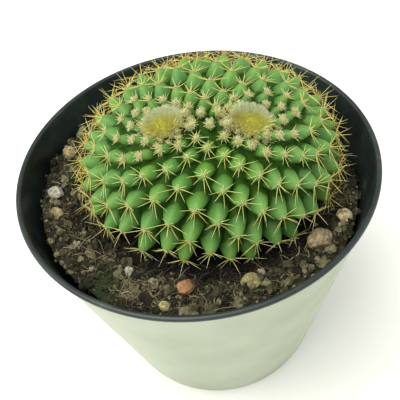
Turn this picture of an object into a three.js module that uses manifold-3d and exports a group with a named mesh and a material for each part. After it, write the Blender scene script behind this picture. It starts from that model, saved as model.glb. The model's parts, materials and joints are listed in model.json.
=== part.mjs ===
// A crested Mammillaria in its round plant pot. Millimetres, +Z up, base of the pot on Z = 0.
// The camera side of the object is -Y, and the two woolly growing points lie along X.

import * as THREE from 'three';
import { mergeVertices } from 'three/addons/utils/BufferGeometryUtils.js';
import Module from 'manifold-3d';

// Pot
const POT_HEIGHT = 78;
const RIM_RADIUS = 50;
const RIM_DEPTH = 1.2;
const LIP_CROWN = 0.5;
const LIP_STEPS = 6;
const WALL = 0.9;
const TOP_RADIUS = 49.4;
const BASE_RADIUS = 33.5;
const BASE_EDGE = 0.7;
const FLOOR_Z = 2.5;
const FLOOR_FILLET = 1;
const FOOT_WIDTH = 3.5;
const POT_SIDES = 48;
const DRAIN_HOLES = 6;
const DRAIN_RADIUS = 4;
const DRAIN_CIRCLE = 21;

// Soil
const GAP = 0.3;
const FACET_ROOM = 0.4;
const SOIL_BELOW_RIM = 10.5;
const SOIL_SLOPE = 0.06;
const SOIL_RELIEF = 0.55;
const SOIL_DIP = 3;
const DIP_EDGE = 1.16;
const SOIL_DROP = 4;
const SOIL_RINGS = [0.45, 0.62, 0.75, 0.86, 0.94, 1];
const SOIL_SIDES = 36;
const STEM_SUNK = 1.5;
const MOUTH_INSET = 1.3;
const MOUTH_HEIGHT = 9;
const MOUTH_TAPER = 4;
const GOLDEN_ANGLE = Math.PI * (3 - Math.sqrt(5));
const GRIT_COUNT = 26;
const GRIT_RADII = [34, 42.5];
const GRIT_SIZES = [1.8, 3.4];
const GRIT_RISE = 0.08;
const GRIT_ROOM = 0.6;

// Stones: shares of their length
const STONE_SHAPE = new THREE.Vector3(1, 0.82, 0.68);
const STONE_CHIPS = 0.28;
const STONE_RISE = 0.14;

// Stem: the ellipsoid that the tips of the tubercles touch
const STEM = new THREE.Vector3(4.2, 1.6, POT_HEIGHT - 3);
const HALF_WIDTH = 36.2;
const HALF_DEPTH = 31.8;
const HALF_HEIGHT = 27;
const LEAN = THREE.MathUtils.degToRad(18);
const TURN = THREE.MathUtils.degToRad(-11);
const CREST_HALF = 12.5;
const FLATTENING = 0.7;
const FLAT_FROM = 0.6;
const TUBERCLE_HEIGHT = 6.6;

// Tubercles: rings round the crest, each turned half a step from the last. Rings are a pitch apart, and
// closer near the crest. Their places stand wider apart at the front and back there than at the ends.
const COLUMNS = 16;
const FIRST_RING = THREE.MathUtils.degToRad(148);
const LAST_RING = THREE.MathUtils.degToRad(8);
const ROW_PITCH = 4.6;
const CREST_PITCH = 0.24;
const SQUEEZE = 0.06;
const SPREAD = 0.24;
const TWIST = 0.06;
const START_TURN = 0.75;
const JITTER = 0.1;
const HEIGHT_RATIO = 0.5;
const HEIGHT_JITTER = 0.12;
const COLLAR_SHARE = 0.52;
const FULLNESS = 0.2;
const CREASE_RISE = 0.18;
const BARE_DEPTH = 0.95;
const CLEAR_OF_SOIL = 1.6;
const CLEAR_OF_WALL = 2.5;

// Spines: one stands on each of the faces round an areole
const AREOLE_FACES = 8;
const AREOLE_RADIUS = 0.6;
const AREOLE_DIP = 0.2;
const SPINE_LENGTH = 6.5;
const RADIAL_SPREAD = THREE.MathUtils.degToRad(60);
const CENTRAL_SPREAD = THREE.MathUtils.degToRad(14);
const SPINE_CLEARANCE = 0.5;
const SHORTENING = [1, 0.8, 0.6];

// Growing points
const WOOL_HALF = new THREE.Vector3(5.2, 4, 1.7);
const WOOL_INSET = 0.075;
const WOOL_SINK = 1;
const WOOL_BRISTLE = 1.1;
const WOOL_ROOM = 0.8;
const BRISTLED_FROM = 0.35;

// Small tufted tubercles between the growing points, in a zigzag
const SADDLE_COUNT = 6;
const SADDLE_STEP = 2.1;
const SADDLE_SHIFT = 1.7;
const SADDLE_RADIUS = 1.8;
const SADDLE_SIDES = 7;
const SADDLE_HEIGHT = 2.6;
const SADDLE_DEPTH = 2;

const wasm = await Module();
wasm.setup();

// A stream of random numbers from 0 to 1 that is the same on each run.
function randomStream(seed) {
  let state = seed >>> 0;
  return () => {
    state = (state + 0x6d2b79f5) >>> 0;
    let mixed = state;
    mixed = Math.imul(mixed ^ (mixed >>> 15), mixed | 1);
    mixed ^= mixed + Math.imul(mixed ^ (mixed >>> 7), mixed | 61);
    return ((mixed ^ (mixed >>> 14)) >>> 0) / 4294967296;
  };
}

function toSolid(geometry) {
  geometry.deleteAttribute('normal');
  geometry.deleteAttribute('uv');
  const merged = mergeVertices(geometry, 1e-3);
  return new wasm.Manifold(new wasm.Mesh({
    numProp: 3,
    vertProperties: new Float32Array(merged.attributes.position.array),
    triVerts: new Uint32Array(merged.index.array),
  }));
}

function toMesh(solid, name, material) {
  const { vertProperties, triVerts } = solid.getMesh();
  const geometry = new THREE.BufferGeometry();
  geometry.setAttribute('position', new THREE.BufferAttribute(vertProperties, 3));
  geometry.setIndex(new THREE.BufferAttribute(triVerts, 1));
  geometry.computeVertexNormals();
  const mesh = new THREE.Mesh(geometry, material);
  mesh.name = name;
  return mesh;
}

function fromTriangles(points, triangles) {
  const geometry = new THREE.BufferGeometry();
  const numbers = points.flatMap((point) => point.toArray());
  geometry.setAttribute('position', new THREE.Float32BufferAttribute(numbers, 3));
  geometry.setIndex(triangles);
  return geometry;
}

function plainIcosahedron(detail) {
  const shape = new THREE.IcosahedronGeometry(1, detail);
  shape.deleteAttribute('normal');
  shape.deleteAttribute('uv');
  return mergeVertices(shape, 1e-3);
}

function between([low, high], share) {
  return low + (high - low) * share;
}

function finish(color, roughness, metalness = 0) {
  return new THREE.MeshStandardMaterial({ color, roughness, metalness });
}

// Pot

function wallRadius(z) {
  return THREE.MathUtils.mapLinear(z, 0, POT_HEIGHT, BASE_RADIUS, TOP_RADIUS);
}

// The rounded top of the lip, from its outer edge over to the inner wall.
function lipArc(inner) {
  const middle = (RIM_RADIUS + inner) / 2;
  const half = (RIM_RADIUS - inner) / 2;
  const arc = [];
  for (let i = 0; i <= LIP_STEPS; i += 1) {
    const angle = (i / LIP_STEPS) * Math.PI;
    arc.push([middle + half * Math.cos(angle), POT_HEIGHT - LIP_CROWN * (1 - Math.sin(angle))]);
  }
  return arc;
}

function makePot() {
  const under = POT_HEIGHT - RIM_DEPTH;
  const hollow = FLOOR_Z - WALL;
  const profile = [
    [0, hollow],
    [BASE_RADIUS - FOOT_WIDTH - hollow, hollow],
    [BASE_RADIUS - FOOT_WIDTH, 0],
    [BASE_RADIUS - BASE_EDGE, 0],
    [BASE_RADIUS, BASE_EDGE],
    [wallRadius(under), under],
    [RIM_RADIUS, under],
    ...lipArc(TOP_RADIUS - WALL),
    [wallRadius(FLOOR_Z + FLOOR_FILLET) - WALL, FLOOR_Z + FLOOR_FILLET],
    [wallRadius(FLOOR_Z) - WALL - FLOOR_FILLET, FLOOR_Z],
    [0, FLOOR_Z],
  ].map(([r, z]) => new THREE.Vector2(r, z));
  const shell = toSolid(new THREE.LatheGeometry(profile, POT_SIDES).rotateX(Math.PI / 2));
  return shell.subtract(wasm.Manifold.union(drainHoles()));
}

function drainHoles() {
  const holes = [];
  for (let i = 0; i < DRAIN_HOLES; i += 1) {
    const angle = (i / DRAIN_HOLES) * 2 * Math.PI;
    const hole = new THREE.CylinderGeometry(DRAIN_RADIUS, DRAIN_RADIUS, 4 * FLOOR_Z, 12);
    hole.rotateX(Math.PI / 2);
    hole.translate(DRAIN_CIRCLE * Math.cos(angle), DRAIN_CIRCLE * Math.sin(angle), FLOOR_Z);
    holes.push(toSolid(hole));
  }
  return holes;
}

// Soil

// The top of the soil, with a dip round the stem.
function soilHeight(x, y) {
  const out = Math.hypot((x - STEM.x) / HALF_WIDTH, (y - STEM.y) / HALF_DEPTH);
  const dip = SOIL_DIP * THREE.MathUtils.clamp((DIP_EDGE - out) / (DIP_EDGE - 1), 0, 1);
  const relief = Math.sin(0.21 * x + 1.1) * Math.cos(0.27 * y - 0.6)
    + 0.7 * Math.sin(0.55 * x - 0.4 * y) + 0.5 * Math.cos(0.71 * y + 0.33 * x + 2);
  return POT_HEIGHT - SOIL_BELOW_RIM - SOIL_SLOPE * x + SOIL_RELIEF * relief - dip;
}

function soilBlock() {
  const points = [];
  const triangles = [];
  const bottom = FLOOR_Z + GAP;
  const edge = wallRadius(POT_HEIGHT - SOIL_BELOW_RIM - SOIL_DROP) - WALL - GAP - FACET_ROOM;
  for (const share of SOIL_RINGS) {
    for (let side = 0; side < SOIL_SIDES; side += 1) {
      const angle = (side / SOIL_SIDES) * 2 * Math.PI;
      const x = share * edge * Math.cos(angle);
      const y = share * edge * Math.sin(angle);
      points.push(new THREE.Vector3(x, y, soilHeight(x, y)));
    }
  }
  const footRadius = wallRadius(bottom) - WALL - GAP - FACET_ROOM - FLOOR_FILLET;
  for (let side = 0; side < SOIL_SIDES; side += 1) {
    const angle = (side / SOIL_SIDES) * 2 * Math.PI;
    points.push(new THREE.Vector3(footRadius * Math.cos(angle), footRadius * Math.sin(angle), bottom));
  }
  const top = points.push(new THREE.Vector3(0, 0, soilHeight(0, 0))) - 1;
  const low = points.push(new THREE.Vector3(0, 0, bottom)) - 1;
  for (let side = 0; side < SOIL_SIDES; side += 1) {
    const next = (side + 1) % SOIL_SIDES;
    triangles.push(top, side, next);
    for (let ring = 0; ring < SOIL_RINGS.length; ring += 1) {
      const inner = ring * SOIL_SIDES;
      const outer = inner + SOIL_SIDES;
      triangles.push(inner + side, outer + side, outer + next);
      triangles.push(inner + side, outer + next, inner + next);
    }
    const foot = SOIL_RINGS.length * SOIL_SIDES;
    triangles.push(low, foot + next, foot + side);
  }
  return toSolid(fromTriangles(points, triangles));
}

// A rounded stone with flat chips, longest along X before it is turned.
function stone(size, seed, detail) {
  const random = randomStream(seed);
  const shape = plainIcosahedron(detail);
  const place = shape.attributes.position;
  const corner = new THREE.Vector3();
  for (let i = 0; i < place.count; i += 1) {
    corner.fromBufferAttribute(place, i).multiplyScalar(1 + STONE_CHIPS * (random() - 0.5));
    place.setXYZ(i, corner.x, corner.y, corner.z);
  }
  shape.scale(...STONE_SHAPE.clone().multiplyScalar(size / 2));
  shape.rotateZ(2 * Math.PI * random());
  return shape;
}

// Stones that lie loose on the soil: place across and along, size.
const STONES = [
  [29.1, -25.6, 6.6],
  [37.6, -18.6, 4.6],
  [-37.5, 19.5, 4.4],
  [-41.2, 3.4, 4.4],
  [-40.4, -4.6, 4.2],
  [-7.4, -34.8, 4.4],
  [9.0, -35.6, 4.8],
  [-13.2, -39.4, 2.8],
  [-21.4, -27.2, 2.6],
  [23.5, 33.5, 4.2],
  [-14.5, 38.5, 3.4],
];

function stoneMiddle([x, y, size]) {
  return new THREE.Vector3(x, y, soilHeight(x, y) + size * STONE_RISE);
}

function stoneAt(index, growth) {
  const [, , size] = STONES[index];
  const shape = stone(size, 50 + index, 1);
  const least = (size / 2) * STONE_SHAPE.z * (1 - STONE_CHIPS / 2);
  const scale = 1 + growth / least;
  shape.scale(scale, scale, scale);
  shape.translate(...stoneMiddle(STONES[index]));
  return shape;
}

function grit() {
  const random = randomStream(7);
  const lumps = [];
  for (let i = 0; i < GRIT_COUNT; i += 1) {
    const angle = GOLDEN_ANGLE * i;
    const radius = between(GRIT_RADII, random());
    const size = between(GRIT_SIZES, random());
    const x = radius * Math.cos(angle);
    const y = radius * Math.sin(angle);
    const shape = stone(size, 90 + i, 0).translate(x, y, soilHeight(x, y) + size * GRIT_RISE);
    const near = STONES.some(([a, b, s]) => Math.hypot(a - x, b - y) < (s + size) / 2 + GRIT_ROOM);
    const hidden = Math.hypot((x - STEM.x) / HALF_WIDTH, (y - STEM.y) / HALF_DEPTH) < 1;
    if (!near && !hidden) lumps.push(toSolid(shape));
  }
  return lumps;
}

function makeSoil() {
  const hole = new THREE.SphereGeometry(1, 32, 16);
  const grown = TUBERCLE_HEIGHT - STEM_SUNK;
  hole.scale(HALF_WIDTH - grown, HALF_DEPTH - grown, HALF_HEIGHT - grown);
  hole.translate(STEM.x, STEM.y, STEM.z);
  const level = soilHeight(STEM.x, STEM.y);
  const wide = HALF_WIDTH - MOUTH_INSET;
  const mouth = new THREE.CylinderGeometry(wide, wide - MOUTH_TAPER, MOUTH_HEIGHT, 32);
  mouth.rotateX(Math.PI / 2);
  mouth.scale(1, HALF_DEPTH / HALF_WIDTH, 1);
  mouth.translate(STEM.x, STEM.y, level + 1);
  const sockets = STONES.map((_, index) => toSolid(stoneAt(index, GAP + 0.08)));
  const filled = wasm.Manifold.union([soilBlock(), ...grit()]);
  return filled.subtract(wasm.Manifold.union([toSolid(hole), toSolid(mouth), ...sockets]));
}

// Stem

const X_AXIS = new THREE.Vector3(1, 0, 0);
const Z_AXIS = new THREE.Vector3(0, 0, 1);

// The tip surface: rings that share the two ends of the crest as their focal points. The crest is
// turned a little about Z and leans to the front.
function tipSurface(phi, theta) {
  const depth = HALF_DEPTH * Math.sin(phi);
  const width = Math.hypot(depth, CREST_HALF);
  const way = new THREE.Vector3(
    (width * Math.cos(theta)) / HALF_WIDTH,
    (depth * Math.sin(theta)) / HALF_DEPTH,
    Math.cos(phi),
  ).normalize().applyAxisAngle(Z_AXIS, TURN).applyAxisAngle(X_AXIS, LEAN);
  const flat = FLATTENING * Math.max(0, way.z - FLAT_FROM) ** 2;
  const place = new THREE.Vector3(HALF_WIDTH * way.x, HALF_DEPTH * way.y, HALF_HEIGHT * (way.z - flat));
  const normal = new THREE.Vector3(way.x / HALF_WIDTH, way.y / HALF_DEPTH, way.z / HALF_HEIGHT).normalize();
  return { place: place.add(STEM), normal };
}

function ringAngles() {
  const angles = [];
  let phi = FIRST_RING;
  while (phi > LAST_RING) {
    angles.push(phi);
    const depth = HALF_DEPTH * Math.sin(phi);
    const width = Math.hypot(depth, CREST_HALF);
    const slope = Math.hypot(HALF_DEPTH * Math.cos(phi), HALF_HEIGHT * Math.sin(phi));
    phi -= Math.min(ROW_PITCH, CREST_PITCH * Math.sqrt(depth * width)) / slope;
  }
  return angles;
}

const RINGS = ringAngles();

function angleOf(ring) {
  return RINGS[Math.min(ring, RINGS.length - 1)];
}

// How much a ring's places are drawn to its ends, or to the front and back where it is negative.
function drift(phi) {
  return SQUEEZE - SPREAD * Math.cos(phi) ** 2;
}

function turnOf(ring, column) {
  const even = (2 * Math.PI * (column + 0.5 * (ring % 2) + START_TURN + TWIST * ring)) / COLUMNS;
  return even + drift(angleOf(ring)) * Math.sin(2 * even);
}

// How far the valleys lie below the tips at a place on the tip surface.
function valleyDepth(ring, turn) {
  const phi = angleOf(ring);
  if (phi > Math.PI / 2) return TUBERCLE_HEIGHT;
  const step = (Math.PI / COLUMNS) * (1 + 2 * drift(phi) * Math.cos(2 * turn));
  const spacing = tipSurface(phi, turn - step).place.distanceTo(tipSurface(phi, turn + step).place);
  return Math.min(TUBERCLE_HEIGHT, HEIGHT_RATIO * spacing);
}

function valleyPoint(ring, turn) {
  const { place, normal } = tipSurface(angleOf(ring), turn);
  return place.addScaledVector(normal, -valleyDepth(ring, turn));
}

// A growing point: where its wool pad is seated on the crest, and how the pad is turned.
function woolPlace(side) {
  const last = RINGS[RINGS.length - 1];
  const end = tipSurface(last, side > 0 ? 0 : Math.PI);
  const other = tipSurface(last, side > 0 ? Math.PI : 0);
  const seat = end.place.clone().lerp(other.place, WOOL_INSET).addScaledVector(end.normal, -WOOL_SINK);
  const turned = new THREE.Quaternion().setFromUnitVectors(Z_AXIS, end.normal);
  turned.multiply(new THREE.Quaternion().setFromAxisAngle(Z_AXIS, TURN));
  return { seat, normal: end.normal, turned };
}

const WOOL = [woolPlace(-1), woolPlace(1)];

// A point as a pad sees it, in shares of the pad's half sizes.
function inPad({ seat, turned }, point, half) {
  return point.clone().sub(seat).applyQuaternion(turned.clone().invert()).divide(half);
}

function underWool(place) {
  const half = WOOL_HALF.clone().addScalar(WOOL_ROOM);
  return WOOL.some((pad) => inPad(pad, place, half).setZ(0).length() < 1);
}

// One tubercle for each place of the lattice, with its tip, its depth and whether it is bare skin.
function tubercles() {
  const random = randomStream(11);
  const sites = [];
  for (let ring = 1; ring < RINGS.length; ring += 1) {
    for (let column = 0; column < COLUMNS; column += 1) {
      const step = (2 * Math.PI) / COLUMNS;
      const turn = turnOf(ring, column) + JITTER * step * (random() - 0.5);
      const pitch = RINGS[ring - 1] - RINGS[ring];
      const phi = RINGS[ring] + 2 * JITTER * pitch * (random() - 0.5);
      const { place, normal } = tipSurface(phi, turn);
      const depth = valleyDepth(ring, turnOf(ring, column)) * (1 + HEIGHT_JITTER * (random() - 0.5));
      const low = place.z < soilHeight(place.x, place.y) + CLEAR_OF_SOIL;
      const bare = low || underWool(place);
      const central = Math.floor(AREOLE_FACES * random());
      sites.push({ ring, column, tip: place, normal, depth, bare, central, random });
    }
  }
  return sites;
}

const SITES = tubercles();

// Adds a tubercle over its border of shared points: border, collar, areole and the spines on it.
function addTubercle(points, triangles, border, site, placed) {
  const { tip, normal, depth } = site;
  const add = (point) => points.push(point) - 1;
  const radius = AREOLE_RADIUS * Math.min(1, 0.4 + depth / TUBERCLE_HEIGHT);
  const collar = border.map((index) => {
    const point = points[index].clone().lerp(tip, COLLAR_SHARE);
    return add(point.addScaledVector(normal, FULLNESS * depth));
  });
  const areole = collar.map((index) => {
    const way = points[index].clone().sub(tip).projectOnPlane(normal).normalize();
    return add(tip.clone().addScaledVector(way, radius).addScaledVector(normal, -AREOLE_DIP));
  });
  const heart = add(tip.clone());
  const count = border.length;
  for (let i = 0; i < count; i += 1) {
    const next = (i + 1) % count;
    triangles.push(border[i], border[next], collar[next]);
    triangles.push(border[i], collar[next], collar[i]);
    triangles.push(collar[i], collar[next], areole[next]);
    triangles.push(collar[i], areole[next], areole[i]);
    const end = spineEnd(points[areole[i]], points[areole[next]], site, i === site.central, placed);
    if (end === null) {
      triangles.push(areole[i], areole[next], heart);
    } else {
      const peak = add(end);
      triangles.push(areole[i], areole[next], peak);
      triangles.push(areole[next], heart, peak);
      triangles.push(heart, areole[i], peak);
    }
  }
}

// Where a spine from this face of the areole ends, or null where it has no room.
function spineEnd(first, second, site, central, placed) {
  const { tip, normal, depth, random } = site;
  const root = tip.clone().add(first).add(second).divideScalar(3);
  const outward = first.clone().add(second).multiplyScalar(0.5).sub(tip).projectOnPlane(normal).normalize();
  const grown = Math.min(1, 0.25 + (0.8 * depth) / TUBERCLE_HEIGHT);
  const length = SPINE_LENGTH * grown * (0.85 + 0.3 * random());
  const spread = central ? CENTRAL_SPREAD : RADIAL_SPREAD * (0.9 + 0.2 * random());
  for (const share of SHORTENING) {
    const lean = spread * (0.5 + 0.5 * share);
    const end = root.clone().addScaledVector(normal, Math.cos(lean) * length * share);
    end.addScaledVector(outward, Math.sin(lean) * length * share);
    const line = new THREE.Line3(root, end);
    const crossed = placed.some((other) => other.site !== site
      && line.distanceSqToLine3(other.line) < SPINE_CLEARANCE ** 2);
    if (!crossed && standsClear(end) && !meetsWool(line) && !meetsStone(line)) {
      placed.push({ line, site });
      return end;
    }
  }
  return null;
}

function meetsWool(line) {
  const half = WOOL_HALF.clone().addScalar(WOOL_ROOM);
  half.z += 1.5 * WOOL_BRISTLE;
  return [0, 0.25, 0.5, 0.75, 1].some((share) => {
    const point = line.at(share, new THREE.Vector3());
    return WOOL.some((pad) => inPad(pad, point, half).length() < 1);
  });
}

function meetsStone(line) {
  const nearest = new THREE.Vector3();
  return STONES.some((place) => {
    const middle = stoneMiddle(place);
    const reach = 0.5 * place[2] * (1 + STONE_CHIPS / 2) + SPINE_CLEARANCE;
    return line.closestPointToPoint(middle, true, nearest).distanceTo(middle) < reach;
  });
}

function standsClear(end) {
  const wall = wallRadius(POT_HEIGHT) - WALL - CLEAR_OF_WALL;
  return end.z > soilHeight(end.x, end.y) + CLEAR_OF_SOIL && Math.hypot(end.x, end.y) < wall;
}

// The skin as one closed mesh: each tubercle rises from the four corners it shares with its neighbours.
function skin(placed) {
  const points = [];
  const triangles = [];
  const shared = new Map();
  const keep = (key, make) => {
    if (!shared.has(key)) shared.set(key, points.push(make()) - 1);
    return shared.get(key);
  };
  const corner = (ring, column) => {
    const wrapped = (column + COLUMNS) % COLUMNS;
    return keep(`corner ${ring} ${wrapped}`, () => valleyPoint(ring, turnOf(ring, column + 0.5)));
  };
  const crease = (a, b, { normal, depth }) => keep(
    `crease ${Math.min(a, b)} ${Math.max(a, b)}`,
    () => points[a].clone().lerp(points[b], 0.5).addScaledVector(normal, CREASE_RISE * depth),
  );
  for (const site of SITES) {
    const { ring, column } = site;
    // The next ring is turned half a step, so its corner straight above or below has this column.
    const beside = ring % 2 === 0 ? column - 1 : column;
    const base = [
      corner(ring, column - 1),
      corner(ring - 1, beside),
      corner(ring, column),
      corner(ring + 1, beside),
    ];
    const border = base.flatMap((index, i) => [index, crease(index, base[(i + 1) % 4], site)]);
    if (site.bare) {
      const middle = site.tip.clone().addScaledVector(site.normal, -BARE_DEPTH * site.depth);
      fan(points, triangles, border, middle);
    } else {
      addTubercle(points, triangles, border, site, placed);
    }
  }
  closeEnd(points, triangles, 1);
  closeEnd(points, triangles, -1);
  return toSolid(fromTriangles(points, triangles));
}

function fan(points, triangles, border, middle) {
  const centre = points.push(middle) - 1;
  border.forEach((index, i) => triangles.push(index, border[(i + 1) % border.length], centre));
}

// Closes the open edge of the skin at the crest (way = 1) or under the soil (way = -1).
function closeEnd(points, triangles, way) {
  const after = new Map();
  for (let i = 0; i < triangles.length; i += 3) {
    const [a, b, c] = triangles.slice(i, i + 3);
    [[a, b], [b, c], [c, a]].forEach(([from, to]) => {
      if (!after.has(from)) after.set(from, new Set());
      after.get(from).add(to);
    });
  }
  const open = [];
  after.forEach((ends, from) => ends.forEach((to) => {
    if (!after.get(to).has(from) && way * (points[from].z - STEM.z) > 0) open.push([from, to]);
  }));
  const middle = new THREE.Vector3();
  open.forEach(([from]) => middle.addScaledVector(points[from], 1 / open.length));
  const centre = points.push(middle) - 1;
  open.forEach(([from, to]) => triangles.push(to, from, centre));
}

// Small tufted tubercles on the saddle between the two growing points, each a closed solid of its own.
function saddle(placed) {
  const random = randomStream(29);
  const [left, right] = WOOL;
  const heart = left.seat.clone().lerp(right.seat, 0.5);
  const normal = left.normal.clone().add(right.normal).normalize();
  const along = right.seat.clone().sub(left.seat).normalize();
  const across = normal.clone().cross(along);
  const solids = [];
  for (let i = 0; i < SADDLE_COUNT; i += 1) {
    const foot = heart.clone().addScaledVector(along, SADDLE_STEP * (i - (SADDLE_COUNT - 1) / 2));
    foot.addScaledVector(across, i % 2 === 0 ? SADDLE_SHIFT : -SADDLE_SHIFT);
    const tip = foot.clone().addScaledVector(normal, SADDLE_HEIGHT);
    const site = { tip, normal, depth: SADDLE_DEPTH, central: 0, random };
    const points = [];
    const triangles = [];
    const border = [];
    for (let k = 0; k < SADDLE_SIDES; k += 1) {
      const angle = (k / SADDLE_SIDES) * 2 * Math.PI;
      const edge = foot.clone().addScaledVector(along, SADDLE_RADIUS * Math.cos(angle));
      edge.addScaledVector(across, SADDLE_RADIUS * Math.sin(angle));
      border.push(points.push(edge.addScaledVector(normal, -SADDLE_HEIGHT / 2)) - 1);
    }
    addTubercle(points, triangles, border, site, placed);
    fan(points, triangles, [...border].reverse(), foot.clone().addScaledVector(normal, -SADDLE_HEIGHT));
    solids.push(toSolid(fromTriangles(points, triangles)));
  }
  return solids;
}

// A pad of wool on one growing point. With bristles, its upper faces rise to short points.
function woolPad(side, growth, bristle) {
  const { seat, turned } = WOOL[side];
  const random = randomStream(31 + side);
  const ball = plainIcosahedron(2);
  const points = [];
  const place = ball.attributes.position;
  for (let i = 0; i < place.count; i += 1) points.push(new THREE.Vector3().fromBufferAttribute(place, i));
  const triangles = [];
  const faces = ball.index.array;
  for (let i = 0; i < faces.length; i += 3) {
    const corners = [...faces.slice(i, i + 3)];
    const middle = new THREE.Vector3();
    corners.forEach((index) => middle.addScaledVector(points[index], 1 / 3));
    if (bristle > 0 && middle.z > BRISTLED_FROM) {
      middle.z += (bristle / WOOL_HALF.z) * (0.5 + random());
      fan(points, triangles, corners, middle);
    } else {
      triangles.push(...corners);
    }
  }
  const shape = fromTriangles(points, triangles);
  shape.scale(WOOL_HALF.x + growth, WOOL_HALF.y + growth, WOOL_HALF.z + growth);
  return toSolid(shape.applyQuaternion(turned).translate(seat.x, seat.y, seat.z));
}

function makePlant() {
  const placed = [];
  const grown = [skin(placed), ...saddle(placed)];
  const sockets = [woolPad(0, GAP + 0.1, 0), woolPad(1, GAP + 0.1, 0)];
  return wasm.Manifold.union(grown).subtract(wasm.Manifold.union(sockets));
}

// Assembly

const potPlastic = finish('#26383d', 0.45);
const pottingSoil = finish('#33281f', 0.95);
const cactusSkin = finish('#4c8f49', 0.5);
const growingWool = finish('#d9d07c', 0.95);
const stoneGrit = finish('#b9a47c', 0.9);

const group = new THREE.Group();
group.add(toMesh(makePot(), 'pot', potPlastic));
group.add(toMesh(makeSoil(), 'soil', pottingSoil));
group.add(toMesh(makePlant(), 'plant', cactusSkin));
group.add(toMesh(woolPad(0, 0, WOOL_BRISTLE), 'wool_left', growingWool));
group.add(toMesh(woolPad(1, 0, WOOL_BRISTLE), 'wool_right', growingWool));
STONES.forEach((_, index) => {
  const name = `pebble_${String(index + 1).padStart(2, '0')}`;
  group.add(toMesh(toSolid(stoneAt(index, 0)), name, stoneGrit));
});

export default group;
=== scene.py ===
import itertools
import json
from math import acos, atan2, cos, hypot, pi, radians, sin, sqrt
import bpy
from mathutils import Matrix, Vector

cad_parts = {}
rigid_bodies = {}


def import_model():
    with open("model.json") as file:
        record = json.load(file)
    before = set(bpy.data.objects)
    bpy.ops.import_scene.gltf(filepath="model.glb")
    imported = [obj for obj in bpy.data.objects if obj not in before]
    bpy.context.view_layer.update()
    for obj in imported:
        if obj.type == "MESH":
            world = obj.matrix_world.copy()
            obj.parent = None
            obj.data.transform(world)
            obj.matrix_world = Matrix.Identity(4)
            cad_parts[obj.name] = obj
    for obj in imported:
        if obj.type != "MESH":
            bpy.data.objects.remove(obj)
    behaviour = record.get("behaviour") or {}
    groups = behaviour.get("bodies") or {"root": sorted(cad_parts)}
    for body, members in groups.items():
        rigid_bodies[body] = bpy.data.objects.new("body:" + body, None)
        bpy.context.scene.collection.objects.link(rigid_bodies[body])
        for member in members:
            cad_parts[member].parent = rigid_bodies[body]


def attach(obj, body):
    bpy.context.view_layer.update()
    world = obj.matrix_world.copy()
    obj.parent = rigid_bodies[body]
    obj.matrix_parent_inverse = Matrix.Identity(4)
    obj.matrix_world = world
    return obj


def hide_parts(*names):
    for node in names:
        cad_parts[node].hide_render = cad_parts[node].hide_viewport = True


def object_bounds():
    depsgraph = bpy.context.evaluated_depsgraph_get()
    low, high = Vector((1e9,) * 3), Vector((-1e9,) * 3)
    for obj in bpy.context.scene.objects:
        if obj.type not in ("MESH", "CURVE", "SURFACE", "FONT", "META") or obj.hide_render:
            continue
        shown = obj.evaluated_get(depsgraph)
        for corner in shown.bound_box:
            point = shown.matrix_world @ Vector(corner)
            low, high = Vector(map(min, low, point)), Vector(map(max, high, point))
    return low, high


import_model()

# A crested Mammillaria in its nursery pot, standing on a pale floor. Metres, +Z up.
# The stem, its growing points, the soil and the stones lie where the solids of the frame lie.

from types import SimpleNamespace

import bpy
import numpy as np
from mathutils import Matrix, Vector, kdtree, noise

CAD_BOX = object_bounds()
MM = 0.001
ANY_TURN = 6.3  # radians, a full turn and a little, for what lies turned any way

# Pot
POT_HEIGHT = 78 * MM
RIM_RADIUS = 50 * MM
RIM_DEPTH = 1.2 * MM
LIP_CROWN = 0.5 * MM
WALL = 0.9 * MM
TOP_RADIUS = 49.4 * MM
BASE_RADIUS = 33.5 * MM
BASE_EDGE = 0.7 * MM
FLOOR_Z = 2.5 * MM
FLOOR_FILLET = 1 * MM
FOOT_WIDTH = 3.5 * MM
RIM_EDGE = 0.3 * MM
WALL_FROM = 4 * MM
INSIDE_ENDS = 2 * MM
AXIS_HOLE = 0.5 * MM
POT_SIDES = 144
DRAIN_HOLES = 6
DRAIN_RADIUS = 4 * MM
DRAIN_CIRCLE = 21 * MM
POT_EDGES = 40  # degrees, the sharpest angle that is shaded smooth

# Soil: where it lies, its dip and well, how rough its top is, and the painted shade in front of the plant
GAP = 0.3 * MM
FACET_ROOM = 0.4 * MM
SOIL_DROP = 4 * MM
SOIL_BELOW_RIM = 10.5 * MM
SOIL_SLOPE = 0.06
SOIL_RELIEF = 0.55 * MM
SOIL_DIP = 3 * MM
DIP_EDGE = 1.16
SOIL_SIDES = 420
SOIL_RINGS = 34
SOIL_ROUGHNESS = 0.95 * MM
CLOD_IN_MM = 3.8
HOLE_INSET = 2.2 * MM
STEM_SUNK = 1.5 * MM
MOUTH_INSET = 1.3 * MM
MOUTH_HEIGHT = 9 * MM
MOUTH_RAISED = 1 * MM
MOUTH_TAPER = 4 * MM
CLEAR_OF_SOIL = 1.2 * MM
CLEAR_OF_WALL = 2 * MM
PAINTED_SHADE_WIDTH = 6.5 * MM
PAINTED_SHADE_SHARPNESS = 1.7

# Stem, as in the solids: the ellipsoid that the tips of the tubercles touch
STEM = Vector((4.2 * MM, 1.6 * MM, POT_HEIGHT - 3 * MM))
HALF = Vector((36.2, 31.8, 27.0)) * MM
LEAN = radians(18)
TURN = radians(-11)
CREST_HALF = 12.5 * MM
FLATTENING = 0.7
FLAT_FROM = 0.6
TUBERCLE_HEIGHT = 6.6 * MM
COLUMNS = 16
FIRST_RING = radians(148)
LAST_RING = radians(8)
ROW_PITCH = 4.6 * MM
CREST_PITCH = 0.24
SQUEEZE = 0.06
SPREAD = 0.24
TWIST = 0.06
START_TURN = 0.75
JITTER = 0.1
HEIGHT_RATIO = 0.5
HEIGHT_JITTER = 0.12
SITE_SEED = 11
BARE_BELOW = 1.6 * MM

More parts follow.
